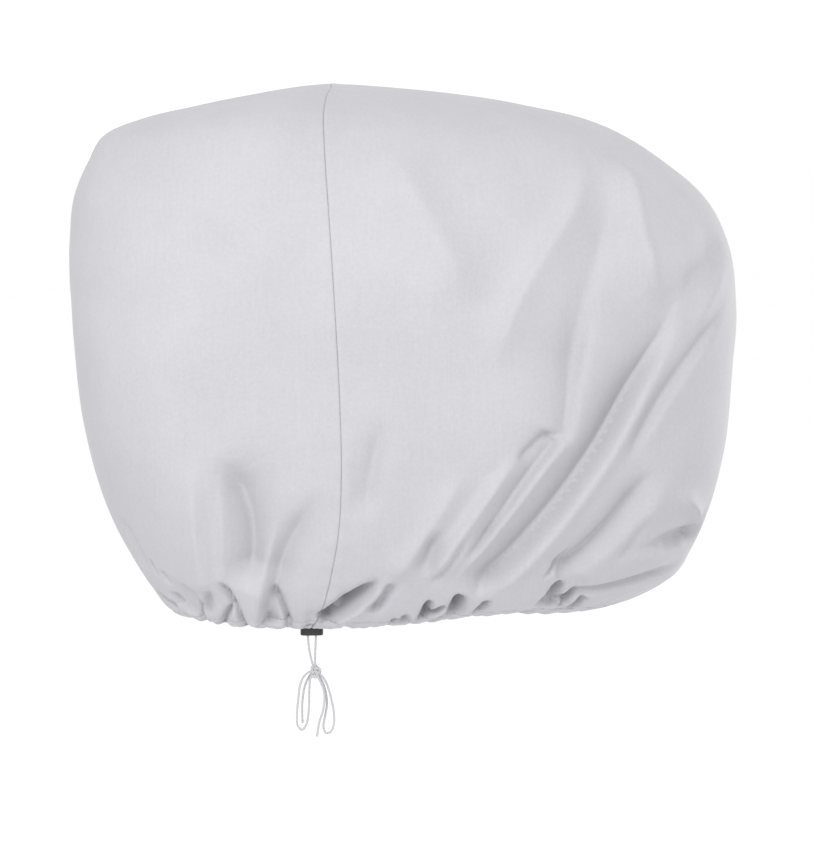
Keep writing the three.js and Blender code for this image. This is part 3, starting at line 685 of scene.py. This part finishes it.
# Seam: its edges turn in to a groove, beside a low welt where the allowance lies under the front panel.
# Its thread draws up small puckers on both sides.
SEAM_GROOVE = 0.9
SEAM_GROOVE_REACH = 0.9
SEAM_WELT = 0.45
SEAM_WELT_REACH = 9
SEAM_WELT_EDGE = 3
SEAM_PUCKER = 0.35
SEAM_PUCKER_PITCH = 27
SEAM_PUCKER_SWAYS = [(2, 61)]
SEAM_PUCKER_REACH = 14

# Net of the cloth: the largest cells, in millimetres, on the near side, between these angles, and on the
# far side, measured at this distance down, and the height of the rings in each run down to the next
# distance. The inside has every second ring and column. Along the seams, a strip of so many degrees has
# columns of its own, at these distances from the seam where they fit in their share of it.
NEAR_CELL = 2.9
FAR_CELL = 6.5
NEAR_SIDE = (200, 365)
CELL_DOWN = 400
RING_RUNS = [(0, 40, 5), (40, 250, 7), (250, 420, 4.5), (420, 2000, 2.7)]
INNER_STEP = 2
SEAM_STRIP = 3.0
SEAM_STRIP_SHARE = 0.85
SEAM_COLUMNS = [0, 0.6, 1.3, 2.2, 3.4, 5.5, 8.5, 12]

# Steps over which directions along the cloth are taken: down it in millimetres, round it in degrees; for
# the normal of the taut cover the step is longer, on a mean radius
STEP_DOWN = 4
STEP_ROUND = 0.5
NORMAL_STEP = 6.0
MEAN_RADIUS = 200
GIRTH_STEPS = 2000
# The least cosine between the way that folds stand out and the normal, when the thickness is laid off
LEAST_SQUARE = 0.4


def columns_of(names, rows):
    return {name: np.array([row[i] for row in rows], float) for i, name in enumerate(names)}


def smooth(t):
    u = np.clip(t, 0, 1)
    return u * u * (3 - 2 * u)


SECTION = columns_of(SECTION_COLUMNS, SECTIONS)
MEAN_REACH = (SECTION["rear"] + SECTION["front"] + 2 * SECTION["half"]) / 4
SECTION_DOWN = np.concatenate([[0], np.cumsum(np.hypot(np.diff(SECTION["drop"]), np.diff(MEAN_REACH)))])
HEM_DOWN = float(SECTION_DOWN[-1])


def section_at(name, down):
    """A smooth curve through one column of the sections; the crown is level."""
    x, y = SECTION_DOWN, SECTION[name]
    step = np.diff(x)
    rise = np.diff(y) / step
    slope = np.concatenate([[rise[0]], (rise[:-1] * step[1:] + rise[1:] * step[:-1]) /
                            (step[1:] + step[:-1]), [rise[-1]]])
    if name == "drop":
        slope[0] = 0
    i = np.clip(np.searchsorted(x, down, side="left") - 1, 0, len(x) - 2)
    h = step[i]
    t = (down - x[i]) / h
    return (y[i] * (1 + 2 * t) * (1 - t) ** 2 + y[i + 1] * t * t * (3 - 2 * t)
            + h * slope[i] * t * (1 - t) ** 2 + h * slope[i + 1] * t * t * (t - 1))


def taut(angle, down):
    """Points of the outside of the taut cover."""
    angle, down = np.broadcast_arrays(angle, down)
    turn = np.radians(angle)
    c, s = np.cos(turn), np.sin(turn)
    n = np.where(c > 0, section_at("square_front", down), section_at("square_rear", down))
    size = (np.abs(c) ** n + np.abs(s) ** n) ** (-1 / n)
    reach = np.where(c > 0, section_at("front", down), section_at("rear", down))
    drawn = (HEM_RISE * np.exp(-((angle - HEM_RISE_ANGLE) / HEM_RISE_REACH) ** 2)
             * smooth(1 - (HEM_DOWN - down) / HEM_RISE_UP))
    return np.stack([section_at("seam", down) + reach * size * c, section_at("half", down) * size * s,
                     CROWN - section_at("drop", down) + section_at("lift", down) * (size * c) ** 2 + drawn],
                    -1)


def taut_normal(angle, down):
    turn = math.degrees(NORMAL_STEP / MEAN_RADIUS)
    above = np.maximum(down - NORMAL_STEP, NORMAL_STEP / 2)
    around = taut(angle + turn, down) - taut(angle - turn, down)
    fall = taut(angle, down + NORMAL_STEP) - taut(angle, above)
    normal = np.cross(fall, around)
    return normal / np.linalg.norm(normal, axis=-1, keepdims=True)


def lift_direction(angle, down):
    """The way in which folds stand out: square to the cloth, but level near the hem, which its cord
    holds at one height."""
    normal = taut_normal(angle, down)
    normal[:, 2] *= 1 - LEVEL_SHARE * smooth(1 - (HEM_DOWN - down) / LEVEL_REACH)
    return normal / np.linalg.norm(normal, axis=1, keepdims=True)


ALL_FOLDS = (NEAR_FRONT_FOLDS + NEAR_REAR_FOLDS + FRONT_END_FOLDS + FAR_FRONT_FOLDS + FAR_REAR_FOLDS
             + REAR_END_FOLDS + CREASES)
FOLD_STEPS = 12
FOLD_END = 3


def fold_rises(rows, points, angle, down):
    """How far folds lift the cloth at points of the taut cover."""
    total = np.zeros(len(points))
    for row in rows:
        fold = dict(zip(FOLD_COLUMNS, row))
        t = np.linspace(0, 1, FOLD_STEPS + 1)
        line_angle = (fold["from_angle"] + (fold["to_angle"] - fold["from_angle"]) * t
                      + fold["bow"] * 4 * t * (1 - t))
        line_down = fold["from_down"] + (fold["to_down"] - fold["from_down"]) * t
        line = taut(line_angle, line_down)
        far = FOLD_END * max(fold["right"], fold["left"])
        near = np.nonzero(np.all((points > line.min(0) - far) & (points < line.max(0) + far), axis=1))[0]
        if len(near) == 0:
            continue
        p, a, d = points[near], angle[near], down[near]
        best = np.full(len(near), np.inf)
        along = np.zeros(len(near))
        side = np.zeros(len(near))
        for i in range(FOLD_STEPS):
            span = line[i + 1] - line[i]
            share = np.clip((p - line[i]) @ span / span.dot(span), 0, 1)
            distance = np.linalg.norm(p - line[i] - share[:, None] * span, axis=1)
            closer = distance < best
            best = np.where(closer, distance, best)
            along = np.where(closer, (i + share) / FOLD_STEPS, along)
            turned = a - 360 * np.round((a - line_angle[i]) / 360) - line_angle[i]
            sign = (turned * (line_down[i + 1] - line_down[i])
                    - (d - line_down[i]) * (line_angle[i + 1] - line_angle[i]))
            side = np.where(closer, sign, side)
        width = np.where(side < 0, fold["right"], fold["left"])
        across = (np.sqrt(best ** 2 + fold["round"] ** 2) - fold["round"]) / width
        fade_in = smooth(along / fold["fade_from"]) if fold["fade_from"] > 0 else 1.0
        fade = fade_in * smooth((1 - along) / fold["fade_to"]) * smooth(FOLD_END - best / width)
        total[near] += fold["rise"] * fade * np.exp(-across - across ** 2 / 2)
    return total


def wavering(waver, count, start):
    """A size that wavers about 1 from one pucker to the next."""
    share, turn = waver
    return 1 + share * math.sin(turn * count + start)


def valleys_of(runs):
    """The puckers of one panel's hem, as unevenly spaced valleys, each with its depth and its length."""
    valleys = [(runs[0][0], SEAM_GATHER_DEPTH, GATHER_LENGTH)]
    for start, end, count in runs:
        widths = [wavering(WIDTH_WAVER, i, start) for i in range(count)]
        angle = start
        for width in widths:
            angle += (end - start) * width / sum(widths)
            i = len(valleys)
            valleys.append((angle, GATHER_DEPTH * wavering(DEPTH_WAVER, i, start),
                            GATHER_LENGTH * wavering(LENGTH_WAVER, i, end)))
    valleys[-1] = (valleys[-1][0], SEAM_GATHER_DEPTH, GATHER_LENGTH)
    return np.array(valleys)


def gather_rise(valleys, angle, down):
    """The hem's rounded puckers, with sharp valleys between them."""
    turned = np.clip(angle, valleys[0, 0], valleys[-1, 0])
    i = np.clip(np.searchsorted(valleys[:, 0], turned, side="left") - 1, 0, len(valleys) - 2)
    a, b = valleys[i], valleys[i + 1]
    t = (turned - a[:, 0]) / (b[:, 0] - a[:, 0])
    depth = a[:, 1] + (b[:, 1] - a[:, 1]) * t
    length = a[:, 2] + (b[:, 2] - a[:, 2]) * t
    ramp = smooth(1 - (HEM_DOWN - down) / length)
    return depth * ramp * (2 * np.sin(np.pi * t) ** GATHER_FULLNESS - 1)


def girth_at(down, angles):
    """Distance round the cover at one height, at each of many angles."""
    fine = np.linspace(angles.min(), angles.max(), GIRTH_STEPS)
    ring = taut(fine, np.full_like(fine, down))
    run = np.concatenate([[0], np.cumsum(np.linalg.norm(np.diff(ring, axis=0), axis=1))])
    return np.interp(angles, fine, run)


def pit_rises(points):
    """How far the pits sink the cloth at points of the taut cover."""
    total = np.zeros(len(points))
    for row in NEAR_PITS:
        pit = dict(zip(PIT_COLUMNS, row))
        angle, down = pit["angle"], pit["down"]
        fall = taut(angle, down + STEP_DOWN) - taut(angle, down - STEP_DOWN)
        around = taut(angle + STEP_ROUND, down) - taut(angle - STEP_ROUND, down)
        fall /= np.linalg.norm(fall)
        around -= fall * around.dot(fall)
        around /= np.linalg.norm(around)
        offset = points - taut(angle, down)
        near = np.linalg.norm(offset, axis=1) < PIT_END * max(pit["reach"], pit["length"])
        along = offset[near] @ fall / pit["length"]
        across = (offset[near] @ around - pit["lean"] * along) / pit["reach"]
        total[near] -= pit["depth"] * np.exp(-np.abs(across) ** PIT_POWER - np.abs(along) ** PIT_POWER)
    return total


def swaying_wave(along, pitch, over, sways):
    """A wave whose pitch sways, so that no two of its puckers are alike."""
    turn = 2 * np.pi * along / pitch
    for radians, length in sways:
        turn = turn + radians * np.sin(over / length)
    return np.sin(turn)


def slack_at(point):
    return sum(height * noise.noise(Vector(point) / size + Vector(offset)) for height, size, offset in SLACK)


def relief(points, down, seam_distance, front, arc):
    """Small forms of the cloth: the hem's puckers and channel, slack, and the seam's groove and welt."""
    up = HEM_DOWN - down
    total = np.zeros(len(points))
    least, more, length = PUCKER_SWELL
    ripple = swaying_wave(arc, PUCKER_PITCH, arc, PUCKER_SWAYS) * (least + more * np.sin(arc / length))
    total += PUCKER_DEPTH * smooth(1 - up / PUCKER_LENGTH) * ripple
    slanting = swaying_wave(arc + SLANT_SHARE * up, SLANT_PITCH, arc, SLANT_SWAYS)
    total += SLANT_DEPTH * smooth(1 - up / SLANT_LENGTH) * slanting
    channel = smooth((HEM_CHANNEL - up) / CHANNEL_EDGE + 0.5)
    total += CHANNEL_RISE * channel - STITCH_DIP * np.exp(-((up - HEM_CHANNEL) / STITCH_DIP_REACH) ** 2)
    slack = np.array([slack_at(point) for point in points])
    total += slack * smooth((down - SLACK_FROM) / SLACK_OVER)
    total -= SEAM_GROOVE * np.exp(-(seam_distance / SEAM_GROOVE_REACH) ** 2)
    if front:
        total += SEAM_WELT * smooth((SEAM_WELT_REACH - seam_distance) / SEAM_WELT_EDGE + 0.5)
    pucker = swaying_wave(down, SEAM_PUCKER_PITCH, down, SEAM_PUCKER_SWAYS)
    total += SEAM_PUCKER * pucker * np.exp(-(seam_distance / SEAM_PUCKER_REACH) ** 2)
    return total


def panel_angles(valleys):
    """Angles of the columns between two seams, closer together on the near side."""
    angles = []
    for a, b in zip(valleys[:-1, 0], valleys[1:, 0]):
        width = float(girth_at(CELL_DOWN, np.array([a, b]))[1])
        near = NEAR_SIDE[0] < (a + b) / 2 < NEAR_SIDE[1]
        count = max(3, math.ceil(width / (NEAR_CELL if near else FAR_CELL)))
        angles += list(a + (b - a) * np.arange(count) / count)
    return np.array(angles + [valleys[-1, 0]])


def panel_net(valleys, front):
    """The net of a panel's outside, in rings from the crown to the hem with closer columns along both
    seams: the angle of each point, its distance down the cloth and its distance from the seam."""
    columns = panel_angles(valleys)
    first, last = columns[0], columns[-1]
    columns = columns[(columns > first + SEAM_STRIP) & (columns < last - SEAM_STRIP)]
    rings = []
    for start, end, height in RING_RUNS:
        stop = min(end, HEM_DOWN - HEM_ROUND)
        count = math.ceil((stop - start) / height)
        rings += list(start + (stop - start) * np.arange(1, count + 1) / count)
    rings = np.array(rings)
    reach = section_at("front" if front else "rear", rings)[:, None]
    offsets = np.degrees(np.array(SEAM_COLUMNS)[None] / reach)
    offsets *= np.minimum(1, SEAM_STRIP_SHARE * SEAM_STRIP / offsets[:, -1:])
    angle = np.concatenate([first + offsets, np.tile(columns, (len(rings), 1)), last - offsets[:, ::-1]], 1)
    down = np.repeat(rings[:, None], angle.shape[1], 1)
    return angle, down, np.radians(np.minimum(angle - first, last - angle)) * reach


def panel_sides(valleys, angle, down, seam_distance, arc, front):
    """The outside of a panel and, behind it, its inside, further in at the hem, where the cord runs."""
    base = taut(angle, down)
    rise = (gather_rise(valleys, angle, down) + fold_rises(ALL_FOLDS, base, angle, down) + pit_rises(base)
            + relief(base, down, seam_distance, front, arc))
    lift = lift_direction(angle, down)
    outer = base + lift * rise[:, None] + (SEAM_SHIFT if front else -SEAM_SHIFT, 0, 0)
    at_hem = smooth((HEM_CHANNEL - (HEM_DOWN - down)) / HEM_THICKENING + 0.5)
    thick = CLOTH + (HEM_THICKNESS - CLOTH) * at_hem
    square = np.einsum("ij,ij->i", lift, taut_normal(angle, down))
    return outer, outer - lift * (thick / np.maximum(square, LEAST_SQUARE))[:, None]


def panel_faces(rows, cols, inner_rows, inner_cols):
    """Faces of a panel. Its points are the crown's outside and inside, the net of the outside, the net of
    the inside, and the rings of the hem's rounded lip."""
    first_inner = 2 + rows * cols
    first_lip = first_inner + len(inner_rows) * len(inner_cols)

    def at_outer(r, c):
        return 2 + r * cols + c

    def at_inner(i, j):
        return first_inner + i * len(inner_cols) + j

    def at_lip(k, c):
        return at_outer(rows - 1, c) if k == 0 else first_lip + (k - 1) * cols + c

    faces = []
    last_row = len(inner_rows) - 1
    # The outside, each cell starting at the corner from which its diagonal runs along the slanting folds
    for c in range(cols - 1):
        faces.append((0, at_outer(0, c), at_outer(0, c + 1)))
        faces += [(at_outer(r, c + 1), at_outer(r, c), at_outer(r + 1, c), at_outer(r + 1, c + 1))
                  for r in range(rows - 1)]
        faces += [(at_lip(k, c), at_lip(k + 1, c), at_lip(k + 1, c + 1), at_lip(k, c + 1))
                  for k in range(LIPS - 1)]
    for j, (c, after) in enumerate(zip(inner_cols, inner_cols[1:])):
        faces.append((1, at_inner(0, j + 1), at_inner(0, j)))
        faces += [(at_inner(i, j + 1), at_inner(i + 1, j + 1), at_inner(i + 1, j), at_inner(i, j))
                  for i in range(last_row)]
        hem_run = [at_lip(LIPS - 1, k) for k in range(after, c - 1, -1)]
        faces.append((*hem_run, at_inner(last_row, j), at_inner(last_row, j + 1)))
    # The edges along the two seams
    for c, j, turned in ((0, 0, False), (cols - 1, len(inner_cols) - 1, True)):
        strips = [(0, 1, at_inner(0, j), at_outer(0, c))]
        for i, (r, after) in enumerate(zip(inner_rows, inner_rows[1:])):
            edge_run = [at_outer(k, c) for k in range(after, r - 1, -1)]
            strips.append((*edge_run, at_inner(i, j), at_inner(i + 1, j)))
        strips.append((*[at_lip(k, c) for k in range(LIPS - 1, -1, -1)], at_inner(last_row, j)))
        faces += [strip[::-1] if turned else strip for strip in strips]
    return faces


def add_panel(name, runs, front, material):
    """A closed sheet of cloth over one panel: an outside and an inside net, joined along the seams and
    round the rounded hem. Its UV is the way round the hem and up from it."""
    valleys = valleys_of(runs)
    angle, down, seam_distance = panel_net(valleys, front)
    rows, cols = angle.shape
    arc = girth_at(HEM_DOWN, angle.ravel())
    sides = panel_sides(valleys, angle.ravel(), down.ravel(), seam_distance.ravel(), arc, front)
    outer, inner = (side.reshape(rows, cols, 3) for side in sides)
    inner_rows = [*range(0, rows - 1, INNER_STEP), rows - 1]
    inner_cols = [*range(0, cols - 1, INNER_STEP), cols - 1]
    inner_net = np.ix_(inner_rows, inner_cols)

    hem_uv = np.stack([arc.reshape(rows, cols), HEM_DOWN - down], -1)
    shift = SEAM_SHIFT if front else -SEAM_SHIFT
    points = [np.array([(shift, 0, CROWN), (shift, 0, CROWN - CLOTH)]), outer.reshape(-1, 3),
              inner[inner_net].reshape(-1, 3)]
    uv_of = [np.array([(0, HEM_DOWN), (0, HEM_DOWN)]), hem_uv.reshape(-1, 2),
             hem_uv[inner_net].reshape(-1, 2)]
    lip = (outer[-1] + inner[-1]) / 2
    swing = outer[-1] - lip
    half = np.linalg.norm(swing, axis=1, keepdims=True)
    fall = taut(angle[-1], down[-1]) - taut(angle[-1], down[-1] - STEP_DOWN)
    fall /= np.linalg.norm(fall, axis=1, keepdims=True)
    for k in range(1, LIPS):
        turn = math.pi * k / LIPS
        points.append(lip + swing * math.cos(turn) + fall * half * math.sin(turn))
        uv_of.append(np.stack([hem_uv[-1, :, 0], np.zeros(cols)], 1))

    faces = panel_faces(rows, cols, inner_rows, inner_cols)
    panel = new_piece(name, np.vstack(points) * MM, faces, material)
    layer = panel.data.uv_layers.new(name="hem")
    loops = np.zeros(len(panel.data.loops), int)
    panel.data.loops.foreach_get("vertex_index", loops)
    layer.data.foreach_set("uv", (np.vstack(uv_of)[loops] * MM).ravel())
    bpy.ops.object.select_all(action="DESELECT")
    panel.select_set(True)
    bpy.context.view_layer.objects.active = panel
    bpy.ops.object.shade_smooth_by_angle(angle=math.radians(SHARP_EDGE))
    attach(panel, "root")
    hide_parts(name.replace("cloth_", ""))
    return panel


# Light and floor. Each light is a square aimed at the middle of the cover: its name, azimuth, elevation,
# distance and size in metres, and power in watts.
LIGHTS = [
    ("key_light", -16, 27, 3.2, 1.1, 52),
    ("fill_light", 120, 2, 3.2, 1.6, 34),
]
LIGHT_TARGET = Vector((0.08, 0, -0.3))
SKY_STRENGTH = 1.06
FLOOR_SIZE = 400
FLOOR_Z = -1.25


def add_studio():
    world = bpy.data.worlds.new("studio")
    bpy.context.scene.world = world
    world.use_nodes = True
    background = world.node_tree.nodes["Background"]
    background.inputs["Color"].default_value = (1, 1, 1, 1)
    background.inputs["Strength"].default_value = SKY_STRENGTH
    for name, azimuth, elevation, distance, size, power in LIGHTS:
        data = bpy.data.lights.new(name, "AREA")
        data.size = size
        data.energy = power
        light = bpy.data.objects.new(name, data)
        bpy.context.scene.collection.objects.link(light)
        light.matrix_world = looking(azimuth, elevation, LIGHT_TARGET, distance)
    bpy.ops.mesh.primitive_plane_add(size=FLOOR_SIZE, location=(0, 0, FLOOR_Z))
    floor = bpy.context.object
    floor.name = "floor"
    floor.data.materials.append(paper_material())
    bpy.context.scene.view_settings.view_transform = "Standard"


add_camera()
add_cords(cord_material())
cloth = cloth_material()
front_panel = add_panel("cloth_front_panel", FRONT_GATHERS, True, cloth)
rear_panel = add_panel("cloth_rear_panel", REAR_GATHERS, False, cloth)
nylon = lock_material()
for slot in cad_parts["cord_lock"].material_slots:
    slot.material = nylon
add_studio()
